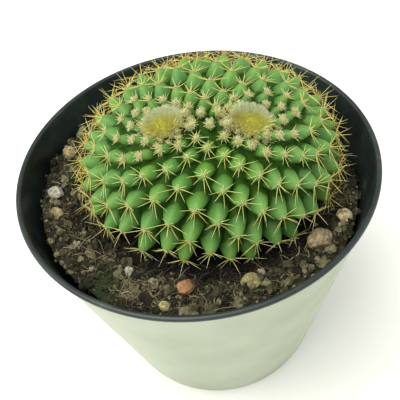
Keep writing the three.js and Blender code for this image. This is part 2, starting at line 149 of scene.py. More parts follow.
# Growing points: a pad's half size and its seat on the crest, and the small tubercles between them
WOOL_HALF = Vector((5.2, 4, 1.7)) * MM
WOOL_INSET = 0.075
WOOL_SINK = 1 * MM
WOOL_ROOM = 0.8 * MM
SADDLE_COUNT = 6
SADDLE_STEP = 2.1 * MM
SADDLE_SHIFT = 1.7 * MM
SADDLE_CELL = 4.5 * MM
SADDLE_HEIGHT = 2.6 * MM

# How deep the clefts are round a tubercle that is only just young, and round the youngest
YOUNG_BELOW = 4.2 * MM
YOUNGEST = 2.6 * MM


def clamped(share):
    """A number brought into the range from 0 to 1."""
    return min(1, max(0, share))


def random_stream(seed):
    """A function that draws numbers from 0 to 1, the same ones on each run and for the solids."""
    state = seed & 0xFFFFFFFF

    def draw():
        nonlocal state
        state = (state + 0x6D2B79F5) & 0xFFFFFFFF
        mixed = ((state ^ (state >> 15)) * (state | 1)) & 0xFFFFFFFF
        mixed ^= (mixed + (mixed ^ (mixed >> 7)) * (mixed | 61)) & 0xFFFFFFFF
        return (mixed ^ (mixed >> 14)) / 4294967296

    return draw


# Modelling helpers


def only(piece):
    """Makes a piece the only selected and active one."""
    bpy.ops.object.select_all(action="DESELECT")
    piece.select_set(True)
    bpy.context.view_layer.objects.active = piece


def primitive(name, add_primitive, **sizes):
    """Adds one of Blender's primitives under a name."""
    bpy.ops.object.select_all(action="DESELECT")
    add_primitive(**sizes)
    piece = bpy.context.object
    piece.name = name
    return piece


def sphere(name, subdivisions, radius):
    """A ball of even triangles."""
    return primitive(name, bpy.ops.mesh.primitive_ico_sphere_add, subdivisions=subdivisions, radius=radius)


def drawn_out(name, sides, rings):
    """A round solid along Z: a filled circle extruded through its (radius, height) rings."""
    radius, height = rings[0]
    piece = primitive(name, bpy.ops.mesh.primitive_circle_add, vertices=sides, radius=radius,
                      fill_type="NGON", location=(0, 0, height))
    bpy.ops.object.transform_apply(location=True, rotation=False, scale=False)
    bpy.ops.object.mode_set(mode="EDIT")
    for (before, low), (after, high) in itertools.pairwise(rings):
        bpy.ops.mesh.extrude_region_move(TRANSFORM_OT_translate={"value": (0, 0, high - low)})
        bpy.ops.transform.resize(value=(after / before, after / before, 1), center_override=(0, 0, high))
    bpy.ops.mesh.select_all(action="SELECT")
    bpy.ops.mesh.normals_make_consistent(inside=False)
    bpy.ops.object.mode_set(mode="OBJECT")
    return piece


def points_of(piece):
    """A piece's vertices as rows of numbers."""
    points = np.empty(len(piece.data.vertices) * 3)
    piece.data.vertices.foreach_get("co", points)
    return points.reshape(-1, 3)


def move_points(piece, points):
    """Puts a piece's vertices at new places."""
    piece.data.vertices.foreach_set("co", np.asarray(points, float).ravel())
    piece.data.update()


def mark(piece, name, values):
    """Stores one number per vertex, which a material can read."""
    stored = piece.data.attributes.get(name) or piece.data.attributes.new(name, "FLOAT", "POINT")
    stored.data.foreach_set("value", np.asarray(values, np.float32))


def curved(stock, bend):
    """Bends a piece a unit long towards +X, more and more to its end."""
    points = points_of(stock)
    points[:, 0] += bend * points[:, 2] ** 2
    move_points(stock, points)
    return stock


def linked(name, data):
    """A new object in the scene, from its mesh, light or camera."""
    piece = bpy.data.objects.new(name, data)
    bpy.context.scene.collection.objects.link(piece)
    return piece


def planted(name, stock, placed):
    """Copies a modelled piece as one mesh. Each copy has a place and a tint."""
    points = points_of(stock)
    faces = [list(face.vertices) for face in stock.data.polygons]
    count = len(points)
    along = (points[:, 2] - points[:, 2].min()) / np.ptp(points[:, 2])
    level = np.c_[points, np.ones(count)]
    moved = np.concatenate([(level @ np.array(place).T)[:, :3] for place, _ in placed])
    copied = [[corner + copy * count for corner in face] for copy in range(len(placed)) for face in faces]
    mesh = bpy.data.meshes.new(name)
    mesh.from_pydata(moved.tolist(), [], copied)
    piece = linked(name, mesh)
    mark(piece, "along", np.tile(along, len(placed)))
    mark(piece, "tint", np.repeat([tint for _, tint in placed], count))
    return piece


def joined(name, parts):
    """Joins parts in one piece, which keeps their materials."""
    only(parts[0])
    for part in parts:
        part.select_set(True)
    bpy.ops.object.join()
    parts[0].name = name
    return parts[0]


def applied(piece, kind, **settings):
    """Adds a modifier and applies it."""
    only(piece)
    modifier = piece.modifiers.new(kind.lower(), kind)
    for key, value in settings.items():
        setattr(modifier, key, value)
    bpy.ops.object.modifier_apply(modifier=modifier.name)
    return piece


def smooth(piece, angle=180):
    """Shades a piece smooth, apart from edges sharper than an angle in degrees."""
    only(piece)
    bpy.ops.object.shade_smooth_by_angle(angle=radians(angle))


def kept(piece, material, slot, *nodes):
    """Finishes a piece: material, body and the nodes that it stands for. Its slot is not used."""
    piece.data.materials.clear()
    piece.data.materials.append(material)
    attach(piece, "root")
    if nodes:
        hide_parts(*nodes)


def discard(*pieces):
    """Removes the stock that copies were made from."""
    for piece in pieces:
        bpy.data.objects.remove(piece)


def placement(*columns):
    """The matrix of a copy, from where its X, Y and Z axes go and where its origin goes."""
    return Matrix([[column[row] for column in columns] for row in range(3)] + [[0, 0, 0, 1]])


def standing(place, way, thickness, length, turn=0.0):
    """Where a copy stands: its Z axis along a direction, as long and as thick as asked, turned about it."""
    way = Vector(way).normalized()
    side = way.orthogonal().normalized()
    side.rotate(Matrix.Rotation(turn, 3, way))
    across = way.cross(side)
    return placement(side * thickness, across * thickness, way * length, Vector(place))


def any_way(draw):
    """A direction drawn from a cube."""
    return Vector((draw() - 0.5, draw() - 0.5, draw() - 0.5))


# Materials


def linear(hex_colour):
    """An sRGB hex colour as the linear colour that a shader's socket takes."""
    shares = [int(hex_colour[i:i + 2], 16) / 255 for i in (1, 3, 5)]
    return [s / 12.92 if s <= 0.04045 else ((s + 0.055) / 1.055) ** 2.4 for s in shares] + [1.0]


def add(material, kind, output, inputs=None, stops=None, **settings):
    """Adds a shader node and returns one output. An input is a value or such an output. Stops fill a ramp."""
    tree = material.node_tree
    node = tree.nodes.new("ShaderNode" + kind)
    for key, value in settings.items():
        setattr(node, key, value)
    for key, value in (inputs or {}).items():
        if isinstance(value, bpy.types.NodeSocket):
            tree.links.new(value, node.inputs[key])
        else:
            node.inputs[key].default_value = value
    for number, (place, colour) in enumerate(stops or ()):
        elements = node.color_ramp.elements
        element = elements[number] if number < 2 else elements.new(place)
        element.position = place
        element.color = linear(colour)
    return None if output is None else node.outputs[output]


def blank(name):
    """A material with an empty node tree."""
    material = bpy.data.materials.new(name)
    material.use_nodes = True
    material.node_tree.nodes.clear()
    return material


def surfaced(material, shader):
    """Ends a material with the shader that it shows."""
    add(material, "OutputMaterial", None, {"Surface": shader})
    return material


def dark_polypropylene():
    """Thermoformed polypropylene, dark grey-green, with a soft sheen and dry water stains."""
    m = blank("dark_polypropylene")
    at = add(m, "TexCoord", "Object")
    stain = add(m, "TexNoise", "Fac", {"Vector": at, "Scale": 1 / (9 * MM), "Detail": 5.0,
                                       "Roughness": 0.6})
    colour = add(m, "ValToRGB", "Color", {"Fac": stain},
                 stops=((0.35, "#141b1d"), (0.62, "#232f2c"), (0.8, "#44564f")))
    # The sheet's grain is too fine to show at its own size, so it is drawn coarser
    grain = add(m, "TexNoise", "Fac", {"Vector": at, "Scale": 1 / (0.7 * MM), "Detail": 3.0})
    bump = add(m, "Bump", "Normal", {"Height": grain, "Strength": 0.25, "Distance": 0.08 * MM})
    sheen = add(m, "MapRange", "Result", {"Value": stain, "To Min": 0.28, "To Max": 0.5})
    return surfaced(m, add(m, "BsdfPrincipled", "BSDF", {
        "Base Color": colour, "Roughness": sheen, "IOR": 1.49, "Normal": bump}))


def mint_polypropylene():
    """The same sheet's outer face, pale mint: satin, and thin enough that light glows through a little."""
    m = blank("mint_polypropylene")
    at = add(m, "TexCoord", "Object")
    cloud = add(m, "TexNoise", "Fac", {"Vector": at, "Scale": 1 / (18 * MM), "Detail": 3.0})
    colour = add(m, "ValToRGB", "Color", {"Fac": cloud}, stops=((0.3, "#9aa68c"), (0.7, "#acb69e")))
    # The grain is drawn coarser than real, as on the dark face
    grain = add(m, "TexNoise", "Fac", {"Vector": at, "Scale": 1 / (0.9 * MM), "Detail": 2.0})
    bump = add(m, "Bump", "Normal", {"Height": grain, "Strength": 0.2, "Distance": 0.05 * MM})
    return surfaced(m, add(m, "BsdfPrincipled", "BSDF", {
        "Base Color": colour, "Roughness": 0.42, "IOR": 1.49,
        "Subsurface Weight": 0.15, "Subsurface Scale": 1 * MM, "Normal": bump}))


def damp_peat():
    """Peat potting mix: near black where it is damp and under painted shade in front of the plant, brown and
    dusty on top, with one patch of algae.
    """
    m = blank("damp_peat")
    at = add(m, "TexCoord", "Object")
    crumb = add(m, "TexNoise", "Fac", {"Vector": at, "Scale": 1 / (1.4 * MM), "Detail": 8.0,
                                       "Roughness": 0.7})
    dry = add(m, "TexNoise", "Fac", {"Vector": at, "Scale": 1 / (7 * MM), "Detail": 3.0})
    tint = add(m, "Attribute", "Fac", attribute_name="tint")
    # The tint varies the soil at random and darkens it with painted shade in front of the plant
    dust_and_painted_shade = add(m, "Math", "Value", {0: dry, 1: 0.7, 2: tint}, operation="MULTIPLY_ADD")
    level = add(m, "Math", "Value", {0: crumb, 1: dust_and_painted_shade}, operation="ADD")
    eased = add(m, "Math", "Value", {0: level, 1: 0.42}, operation="MULTIPLY")
    peat = add(m, "ValToRGB", "Color", {"Fac": eased},
               stops=((0.3, "#0c0c08"), (0.48, "#272618"), (0.66, "#57533a"), (0.9, "#989270")))
    algae = add(m, "Mapping", "Vector", {"Vector": at, "Location": (27 * MM, 30 * MM, -66 * MM)})
    away = add(m, "VectorMath", "Value", {0: algae}, operation="LENGTH")
    wavy = add(m, "TexNoise", "Fac", {"Vector": at, "Scale": 1 / (4 * MM), "Detail": 4.0})
    edge = add(m, "Math", "Value", {0: wavy, 1: 9 * MM, 2: away}, operation="MULTIPLY_ADD")
    patch = add(m, "MapRange", "Result", {"Value": edge, "From Min": 12 * MM, "From Max": 7 * MM,
                                          "To Max": 0.6})
    mixed = add(m, "Mix", 2, {"Factor": patch, 6: peat, 7: linear("#3c4a2c")}, data_type="RGBA")
    bump = add(m, "Bump", "Normal", {"Height": crumb, "Strength": 1.0, "Distance": 0.8 * MM})
    return surfaced(m, add(m, "BsdfPrincipled", "BSDF", {
        "Base Color": mixed, "Roughness": 0.9, "IOR": 1.4, "Normal": bump}))


def coir():
    """Coir and root fibres: dry, straw to brown, each strand of its own shade."""
    m = blank("coir_fibre")
    tint = add(m, "Attribute", "Fac", attribute_name="tint")
    colour = add(m, "ValToRGB", "Color", {"Fac": tint},
                 stops=((0.0, "#3c3426"), (0.5, "#6d6248"), (1.0, "#b0a680")))
    return surfaced(m, add(m, "BsdfPrincipled", "BSDF", {
        "Base Color": colour, "Roughness": 0.75, "IOR": 1.45}))


def quartz_grit(name, dark, pale):
    """River grit of quartz and feldspar: matt, mottled, with fine pits that hold dust."""
    m = blank(name)
    at = add(m, "TexCoord", "Object")
    mottle = add(m, "TexNoise", "Fac", {"Vector": at, "Scale": 1 / (1.8 * MM), "Detail": 7.0,
                                        "Roughness": 0.7})
    colour = add(m, "ValToRGB", "Color", {"Fac": mottle}, stops=((0.36, dark), (0.62, pale)))
    dust = add(m, "TexNoise", "Fac", {"Vector": at, "Scale": 1 / (1.1 * MM), "Detail": 6.0,
                                      "Roughness": 0.75})
    cover = add(m, "MapRange", "Result", {"Value": dust, "From Min": 0.46, "From Max": 0.6, "To Max": 0.8})
    dusted = add(m, "Mix", 2, {"Factor": cover, 6: colour, 7: linear("#4f4730")}, data_type="RGBA")
    # The pits are too fine to show at their own size, so they are drawn coarser
    pits = add(m, "TexNoise", "Fac", {"Vector": at, "Scale": 1 / (0.5 * MM), "Detail": 4.0})
    bump = add(m, "Bump", "Normal", {"Height": pits, "Strength": 0.9, "Distance": 0.3 * MM})
    return surfaced(m, add(m, "BsdfPrincipled", "BSDF", {
        "Base Color": dusted, "Roughness": 0.8, "IOR": 1.54, "Normal": bump}))


def waxy_skin():
    """Cactus skin under its wax: fresh green on the tips, bluer on the flanks, and darkened by painted shade
    down into the clefts.
    """
    m = blank("waxy_cactus_skin")
    at = add(m, "TexCoord", "Object")
    depth = add(m, "Attribute", "Fac", attribute_name="depth")
    tint = add(m, "Attribute", "Fac", attribute_name="tint")
    cloud = add(m, "TexNoise", "Fac", {"Vector": at, "Scale": 1 / (5 * MM), "Detail": 4.0,
                                       "Roughness": 0.55})
    tone_and_painted_shade = add(m, "Math", "Value", {0: cloud, 1: 0.3, 2: depth}, operation="MULTIPLY_ADD")
    # Both ramps darken from the tips into the clefts: painted shade on the skin's own green and blue
    green = add(m, "ValToRGB", "Color", {"Fac": tone_and_painted_shade},
                stops=((0.15, "#6f9641"), (0.5, "#5b8b34"), (0.85, "#476e25"), (1.0, "#335418")))
    blue = add(m, "ValToRGB", "Color", {"Fac": tone_and_painted_shade},
               stops=((0.15, "#639047"), (0.5, "#4c8035"), (0.85, "#3c6626"), (1.0, "#2c4e1a")))
    mixed = add(m, "Mix", 2, {"Factor": tint, 6: green, 7: blue}, data_type="RGBA")
    # The skin's pale dots are drawn coarser than real, and in the photograph's view they still blend
    dots = add(m, "TexVoronoi", "Distance", {"Vector": at, "Scale": 1 / (0.45 * MM)})
    speck = add(m, "MapRange", "Result", {"Value": dots, "From Min": 0.1, "From Max": 0.26, "To Min": 0.3,
                                          "To Max": 0.0})
    # The pale dots fade out where painted shade darkens the clefts
    lit = add(m, "MapRange", "Result", {"Value": depth, "From Min": 0.3, "From Max": 0.7, "To Min": 1.0,
                                        "To Max": 0.0})
    seen = add(m, "Math", "Value", {0: speck, 1: lit}, operation="MULTIPLY")
    speckled = add(m, "Mix", 2, {"Factor": seen, 6: mixed, 7: linear("#a9cf8e")}, data_type="RGBA")
    bump = add(m, "Bump", "Normal", {"Height": dots, "Strength": 0.12, "Distance": 0.1 * MM})
    gloss = add(m, "MapRange", "Result", {"Value": depth, "From Min": 0.5, "From Max": 0.95, "To Min": 0.5,
                                          "To Max": 0.05})
    return surfaced(m, add(m, "BsdfPrincipled", "BSDF", {
        "Base Color": speckled, "Roughness": 0.52, "IOR": 1.42,
        "Specular IOR Level": gloss, "Subsurface Weight": 0.2, "Subsurface Scale": 1.2 * MM,
        "Subsurface Radius": (0.6, 1.0, 0.3), "Normal": bump}))


def horn_spines():
    """Spines of horn: brown-orange at the foot, golden, and pale and almost clear at the point."""
    m = blank("golden_spine_horn")
    along = add(m, "Attribute", "Fac", attribute_name="along")
    tint = add(m, "Attribute", "Fac", attribute_name="tint")
    gold = add(m, "ValToRGB", "Color", {"Fac": along},
               stops=((0.0, "#b28c38"), (0.15, "#d4cb68"), (1.0, "#eeeeae")))
    amber = add(m, "ValToRGB", "Color", {"Fac": along},
                stops=((0.0, "#b07c2a"), (0.25, "#d2b03c"), (1.0, "#e6d876")))
    mixed = add(m, "Mix", 2, {"Factor": tint, 6: gold, 7: amber}, data_type="RGBA")
    return surfaced(m, add(m, "BsdfPrincipled", "BSDF", {
        "Base Color": mixed, "Roughness": 0.38, "IOR": 1.54,
        "Subsurface Weight": 0.3, "Subsurface Scale": 0.3 * MM, "Subsurface Radius": (1.0, 0.8, 0.5)}))


def felt(name, stops):
    """Plant wool: matt hair with a soft sheen, each strand of its own shade."""
    m = blank(name)
    tint = add(m, "Attribute", "Fac", attribute_name="tint")
    colour = add(m, "ValToRGB", "Color", {"Fac": tint}, stops=stops)
    return surfaced(m, add(m, "BsdfPrincipled", "BSDF", {
        "Base Color": colour, "Roughness": 0.85, "IOR": 1.45, "Sheen Weight": 0.4,
        "Subsurface Weight": 0.3, "Subsurface Scale": 0.4 * MM, "Subsurface Radius": (1.0, 0.95, 0.8)}))


# Pot


def wall_radius(z):
    """The radius of the wall's outer face at a height."""
    return BASE_RADIUS + (TOP_RADIUS - BASE_RADIUS) * z / POT_HEIGHT


def rounded(middle, radius, start, end, steps):
    """Points on an arc of a profile, from one angle to another in degrees."""
    turns = [radians(start + (end - start) * i / steps) for i in range(steps + 1)]
    return [(middle[0] + radius * cos(t), middle[1] + radius * sin(t)) for t in turns]


def make_pot():
    """One thin shell: foot, tapered wall, rolled lip, and the inside back down to the floor."""
    under = POT_HEIGHT - RIM_DEPTH
    inner = TOP_RADIUS - WALL
    corner = wall_radius(FLOOR_Z) - WALL - FLOOR_FILLET
    profile = [(AXIS_HOLE, FLOOR_Z - WALL), (BASE_RADIUS - FOOT_WIDTH - BASE_EDGE, FLOOR_Z - WALL)]
    profile += rounded((BASE_RADIUS - FOOT_WIDTH + BASE_EDGE, BASE_EDGE), BASE_EDGE, 180, 270, 4)
    profile += rounded((BASE_RADIUS - BASE_EDGE, BASE_EDGE), BASE_EDGE, 270, 355, 5)
    profile += [(wall_radius(z), z) for z in np.linspace(WALL_FROM, under, 9)]
    profile += rounded((RIM_RADIUS - RIM_EDGE, under + RIM_EDGE), RIM_EDGE, 270, 360, 3)
    for across, height in rounded((0, 0), 1, 10, 170, 10):
        profile.append(((RIM_RADIUS + inner) / 2 + (RIM_RADIUS - inner) / 2 * across,
                        POT_HEIGHT - LIP_CROWN * (1 - height)))
    inside = np.linspace(POT_HEIGHT - INSIDE_ENDS, FLOOR_Z + INSIDE_ENDS, 8)
    profile += [(wall_radius(z) - WALL, z) for z in inside]
    profile += rounded((corner, FLOOR_Z + FLOOR_FILLET), FLOOR_FILLET, -10, -90, 5)
    profile += [(AXIS_HOLE, FLOOR_Z)]
    pot = drawn_out("plant_pot", POT_SIDES, profile)
    for hole in range(DRAIN_HOLES):
        angle = 2 * pi * hole / DRAIN_HOLES
        place = (DRAIN_CIRCLE * cos(angle), DRAIN_CIRCLE * sin(angle), FLOOR_Z)
        drill = primitive("drill", bpy.ops.mesh.primitive_cylinder_add, vertices=32, radius=DRAIN_RADIUS,
                          depth=6 * FLOOR_Z, location=place)
        applied(pot, "BOOLEAN", operation="DIFFERENCE", object=drill, solver="EXACT")
        discard(drill)
    smooth(pot, POT_EDGES)
    kept(pot, dark_polypropylene(), "pot_plastic", "pot")
    pot.data.materials.append(mint_polypropylene())
    # The mint face is the outside of the wall, the foot and the underside, up to the lip
    for face in pot.data.polygons:
        x, y, z = face.center
        outside = hypot(x, y) > wall_radius(z) - 0.45 * WALL or z < FLOOR_Z - 0.5 * WALL
        if outside and z < under + 0.02 * MM:
            face.material_index = 1


# Stem


def tip_surface(phi, theta):
    """A place on the surface of the tips and the direction out of it. All rings share the crest's ends."""
    depth = HALF.y * sin(phi)
    width = hypot(depth, CREST_HALF)
    way = Vector((width * cos(theta) / HALF.x, depth * sin(theta) / HALF.y, cos(phi)))
    way.normalize()
    way.rotate(Matrix.Rotation(LEAN, 3, "X") @ Matrix.Rotation(TURN, 3, "Z"))
    flat = FLATTENING * max(0, way.z - FLAT_FROM) ** 2
    place = STEM + Vector((HALF.x * way.x, HALF.y * way.y, HALF.z * (way.z - flat)))
    normal = Vector((way.x / HALF.x, way.y / HALF.y, way.z / HALF.z)).normalized()
    return place, normal


def ring_angles():
    """How far round from the crest each ring lies. Near the crest they lie closer together."""
    angles = []
    phi = FIRST_RING
    while phi > LAST_RING:
        angles.append(phi)
        depth = HALF.y * sin(phi)
        width = hypot(depth, CREST_HALF)
        slope = hypot(HALF.y * cos(phi), HALF.z * sin(phi))
        phi -= min(ROW_PITCH, CREST_PITCH * sqrt(depth * width)) / slope
    return angles


RINGS = ring_angles()
STEP = 2 * pi / COLUMNS


def drift(phi):
    """How much a ring's places are drawn to its ends, or to the front and back where it is negative."""
    return SQUEEZE - SPREAD * cos(phi) ** 2


def spacing_at(phi, turn):
    """How far apart the tips of a ring are at a place."""
    half = STEP / 2 * (1 + 2 * drift(phi) * cos(2 * turn))
    before, _ = tip_surface(phi, turn - half)
    after, _ = tip_surface(phi, turn + half)
    return (after - before).length


def valley_depth(phi, turn):
    """How far the clefts lie below the tips at a place."""
    if phi > pi / 2:
        return TUBERCLE_HEIGHT
    return min(TUBERCLE_HEIGHT, HEIGHT_RATIO * spacing_at(phi, turn))


def soil_height(x, y):
    """The top of the soil, with a dip round the stem."""
    out = hypot((x - STEM.x) / HALF.x, (y - STEM.y) / HALF.y)
    dip = SOIL_DIP * clamped((DIP_EDGE - out) / (DIP_EDGE - 1))
    x, y = x / MM, y / MM  # the waves below are in millimetres
    relief = (sin(0.21 * x + 1.1) * cos(0.27 * y - 0.6)
              + 0.7 * sin(0.55 * x - 0.4 * y) + 0.5 * cos(0.71 * y + 0.33 * x + 2))
    return POT_HEIGHT - SOIL_BELOW_RIM - SOIL_SLOPE * x * MM + SOIL_RELIEF * relief - dip


def wool_place(side):
    """Where a pad of wool is seated on an end of the crest, the direction out of it and its turn."""
    place, normal = tip_surface(RINGS[-1], 0 if side > 0 else pi)
    other, _ = tip_surface(RINGS[-1], pi if side > 0 else 0)
    turned = Vector((0, 0, 1)).rotation_difference(normal).to_matrix() @ Matrix.Rotation(TURN, 3, "Z")
    return place.lerp(other, WOOL_INSET) - WOOL_SINK * normal, normal, turned


WOOL = [wool_place(-1), wool_place(1)]


def under_wool(place):
    """Whether a place is on the crest under a pad."""
    for seat, _, turned in WOOL:
        x, y, _ = turned.transposed() @ (place - seat)
        if hypot(x / (WOOL_HALF.x + WOOL_ROOM), y / (WOOL_HALF.y + WOOL_ROOM)) < 1:
            return True
    return False


def youth_of(depth):
    """1 for the smallest tubercles beside the growing points, 0 for a grown one."""
    return clamped((YOUNG_BELOW - depth) / (YOUNG_BELOW - YOUNGEST))


def turn_at(phi, even):
    """Where a place of an evenly divided ring has drifted to."""
    return even + drift(phi) * sin(2 * even)


def tubercle_sites():
    """One tubercle for each place of the lattice that stands clear of the soil and the wool."""
    draw = random_stream(SITE_SEED)
    sites = []
    for ring, column in itertools.product(range(1, len(RINGS)), range(COLUMNS)):
        even = STEP * (column + 0.5 * (ring % 2) + START_TURN + TWIST * ring)
        level = turn_at(RINGS[ring], even)
        turn = level + JITTER * STEP * (draw() - 0.5)
        pitch = RINGS[ring - 1] - RINGS[ring]
        phi = RINGS[ring] + 2 * JITTER * pitch * (draw() - 0.5)
        tip, normal = tip_surface(phi, turn)
        depth = valley_depth(RINGS[ring], level) * (1 + HEIGHT_JITTER * (draw() - 0.5))
        mood = draw()
        if tip.z < soil_height(tip.x, tip.y) + BARE_BELOW or under_wool(tip):
            continue
        side, _ = tip_surface(phi, turn + STEP / 8)
        across = (side - tip).normalized()
        across = (across - across.dot(normal) * normal).normalized()
        above, _ = tip_surface(phi - pitch, turn_at(phi - pitch, even + TWIST * STEP))
        below, _ = tip_surface(phi + pitch, turn_at(phi + pitch, even - TWIST * STEP))
        along = above - below
        sites.append(SimpleNamespace(
            tip=tip, normal=normal, across=across, up=normal.cross(across), depth=depth, mood=mood,
            along=along - along.dot(normal) * normal, width=spacing_at(phi, turn)))
    return sites


def saddle_sites():
    """The small tubercles in a zigzag between the growing points."""
    (left, left_out, _), (right, right_out, _) = WOOL
    normal = (left_out + right_out).normalized()
    along = (right - left).normalized()
    up = normal.cross(along)
    sites = []
    for number in range(SADDLE_COUNT):
        shift = SADDLE_SHIFT if number % 2 == 0 else -SADDLE_SHIFT
        foot = left.lerp(right, 0.5) + SADDLE_STEP * (number - (SADDLE_COUNT - 1) / 2) * along + shift * up
        sites.append(SimpleNamespace(
            tip=foot + SADDLE_HEIGHT * normal, normal=normal, across=along, up=up, depth=SADDLE_HEIGHT,
            mood=0.5, along=SADDLE_CELL * up, width=SADDLE_CELL))
    return sites


SITES = tubercle_sites() + saddle_sites()
for numbered in SITES:
    numbered.youth = youth_of(numbered.depth)

# Tubercle, in shares of its cell: half width, depth below the tip, and the power of its outline,
# from 2 for an ellipse to 1 for a lozenge
TUBERCLE_RINGS = ((0.08, 0.0, 2.0), (0.17, 0.03, 2.0), (0.26, 0.1, 1.8),
                  (0.36, 0.23, 1.6), (0.47, 0.4, 1.45), (0.58, 0.6, 1.4),
                  (0.67, 0.82, 1.35), (0.76, 1.05, 1.35), (0.86, 1.35, 1.35))
DROOP = 0.4

# The stem under the tubercles, which lies a little below the floor of the clefts
CORE_SIDES = 72
CORE_RINGS = 40
CORE_SINK = 1.02

# The painted shade along the line between two tubercles: how far down the heart of one lies, from which ratio
# of a point's distances to the nearest two hearts it is darkened, how dark, and the sharpest angle that is
# shaded smooth
HEART_DEPTH = 0.4
CLEFT_FROM = 0.74
CLEFT_SHADE = 0.85
CLEFT_ANGLE = 38


def make_tubercle():
    """A blunt cone that turns from round at its tip to a lozenge at its foot, its tip at the origin."""
    stock = drawn_out("tubercle", 16, [(radius, -depth) for radius, depth, _ in TUBERCLE_RINGS])
    points = points_of(stock)
    powers = {round(depth, 3): power for _, depth, power in TUBERCLE_RINGS}
    for index, (x, y, z) in enumerate(points):
        turn = atan2(y, x)
        power = powers[round(-z, 3)]
        swell = (abs(cos(turn)) ** power + abs(sin(turn)) ** power) ** (-1 / power)
        points[index] = (x * swell, y * swell, z)
    move_points(stock, points)
    applied(stock, "SUBSURF", levels=1, render_levels=1)
    return stock


def slant_of(site):
    """From the foot of a tubercle to its tip: the foot lies nearer the crest, so that the tubercle droops."""
    return site.depth * site.normal - DROOP / 2 * site.along


def tubercle_place(site):
    """Fits the tubercle to its cell, which reaches halfway to its neighbours."""
    wide, high = site.width / 2, site.along.length / 2
    flat = min(wide, high) / max(wide, high)
    share = (1 + flat * flat) / 2
    across = site.across * wide * (share if wide > high else 1)
    along = site.along / 2 * (share if high > wide else 1)
    return placement(across, along, slant_of(site), site.tip)


def make_core():
    """The stem under the tubercles: rings drawn out along Z, then put on the floor of the clefts."""
    angles = list(np.linspace(FIRST_RING, LAST_RING, CORE_RINGS))
    core = drawn_out("cactus_body", CORE_SIDES, [(HALF.x, number * MM) for number in range(CORE_RINGS)])
    points = points_of(core)
    for index, (x, y, z) in enumerate(points):
        phi = angles[round(z / MM)]
        turn = atan2(y, x)
        place, normal = tip_surface(phi, turn)
        points[index] = place - CORE_SINK * valley_depth(phi, turn) * normal
    move_points(core, points)
    return core


def make_body():
    """Tubercles and core grown together. Each point knows how deep it lies, with painted shade added along
    the clefts, and its tubercle's tint.
    """
    stock = make_tubercle()
    grown = bpy.data.collections.new("tubercles")
    for site in SITES:
        tubercle = bpy.data.objects.new("tubercle", stock.data.copy())
        tubercle.data.transform(tubercle_place(site))
        grown.objects.link(tubercle)
    discard(stock)
    body = applied(make_core(), "BOOLEAN", operation="UNION", operand_type="COLLECTION", collection=grown,
                   solver="MANIFOLD")
    discard(*grown.objects)
    hearts = kdtree.KDTree(len(SITES))
    for index, site in enumerate(SITES):
        hearts.insert(site.tip - HEART_DEPTH * slant_of(site), index)
    hearts.balance()
    shaded_depths, tints = [], []
    for vertex in body.data.vertices:
        (_, index, near), (_, _, next_near) = hearts.find_n(vertex.co, 2)
        site = SITES[index]
        # Painted shade: a point near the middle between two hearts is darkened as if shaded, on top of how
        # deep it lies
        cleft = max(0, near / next_near - CLEFT_FROM) / (1 - CLEFT_FROM)
        depth = (site.tip - vertex.co).dot(site.normal) / site.depth
        shaded_depths.append(min(1, max(0, depth) + CLEFT_SHADE * cleft))
        tints.append(site.mood)
    smooth(body, CLEFT_ANGLE)
    mark(body, "depth", shaded_depths)
    mark(body, "tint", tints)
    kept(body, waxy_skin(), "cactus_skin", "plant")


# Spines and wool

# Spines in an areole's ring and in its middle: how many on a plain one, how many more on a young one and on
# one of the golden back and flanks
RING_SPINES = (8, 4, 7)
MIDDLE_SPINES = (1, 5, 3)
RING_VARIES = 1.4
ROOT_SPREAD = 0.3 * MM
ROOT_SINK = 0.2 * MM

# A spine and a hair: their rings in shares of their radius and length, and how far the end bends, in radii
SPINE_RINGS = ((1, 0), (0.92, 0.3), (0.72, 0.6), (0.42, 0.85), (0.05, 1))
SPINE_BEND = 2.4
HAIR_RINGS = ((1, 0), (0.8, 0.5), (0.25, 1))
HAIR_BEND = 2.5

# Length: a grown spine's, the least share of it and the range, and what makes a spine shorter or longer
SPINE_LENGTH = 5.7 * MM
SPINE_THICKNESS = 0.072 * MM
LEAST_SHARE = 0.6
SHARE_RANGE = 0.56
MIDDLE_SHARE = 0.75
YOUNG_SHORTER = 0.35
GOLDEN_LONGER = 0.55
UPPER_SHORTER = 0.7
CUT_SHARES = (1, 0.8, 0.6, 0.4)

# How far spines lean, in degrees: in the middle the least and the range, in the ring the mean and the
# range, and how much the ring of a young areole closes
MIDDLE_LEAN = 8
MIDDLE_SPREAD = 25
RING_LEAN = 70
RING_SPREAD = 22
YOUNG_CLOSES = 22

# Bristles of a growing point: how many, where along its edge in half turns, in which band of the pad in
# shares of its size, and how long in mm, each as a least or middle value and a range
WOOL_BRISTLES = 320
BRISTLES_FACE = 0.58
BRISTLES_ARC = 1.4
BRISTLES_INNER = 0.65
BRISTLES_BAND = 0.75
BRISTLE_LENGTH = 1.0
BRISTLE_RANGE = 1.6

# Areoles: how far they look down from the crest, their radius in mm, their hairs, thicker than real ones so
# that they show, and the ball of felt under the hairs in shares of the radius
LOOK_DOWN = 0.35
FELT_SINK = 0.3 * MM
FELT_RADIUS = 0.65
YOUNG_LARGER = 0.6
NEWBORN_LARGER = 0.45
FELT_HAIRS = 26
YOUNG_HAIRS = 60
HAIR_THICKNESS = 0.11 * MM
HAIR_ROOT = 0.45
BALL_WIDTH = 0.75
BALL_DEPTH = 0.7
BALL_TINT = 0.35
AREOLE_COLOURS = ((0.0, "#847e40"), (0.4, "#adac6c"), (1.0, "#d2d5a0"))

# Areoles round a growing point: how many in a row, then the share of the pad and the level of each row
NEWBORN = 13
NEWBORN_ROWS = ((1.34, -0.25 * MM), (1.0, 0.2 * MM))

